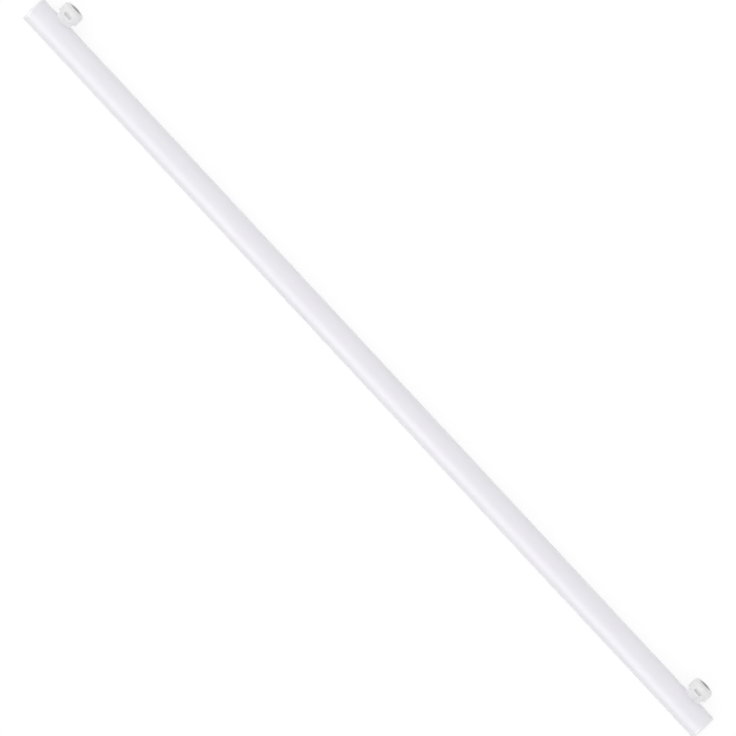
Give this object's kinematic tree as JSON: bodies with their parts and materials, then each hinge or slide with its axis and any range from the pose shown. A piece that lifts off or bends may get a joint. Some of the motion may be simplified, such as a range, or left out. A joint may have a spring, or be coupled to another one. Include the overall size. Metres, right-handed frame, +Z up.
{
  "type": "tubular light bulb",
  "caption": "Straight opal tube lamp with round white side caps near its ends, each with a flat metal contact, that snap into lampholders for linear tube lamps.",
  "frame": {"origin": "under the middle of the lamp's box, on the surface that the lamp lies on", "axes": "+X along the tube from the end with cap a to the end with cap b, +Z up, the caps pointing towards +Y and drooping about 5 degrees so that their rims touch the surface"},
  "size_m": [1, 0.047, 0.029],
  "materials": {
    "opal_glass": "satin white opal",
    "end_plastic": "satin white",
    "cap_plastic": "satin white, moulded",
    "contact_metal": "dull nickel plate"
  },
  "bodies": {
    "root": {"opal_tube": "opal_glass", "end_cap_a": "end_plastic", "end_cap_b": "end_plastic", "cap_housing_a": "cap_plastic", "cap_housing_b": "cap_plastic", "cap_contact_a": "contact_metal", "cap_contact_b": "contact_metal"}
  },
  "joints": []
}
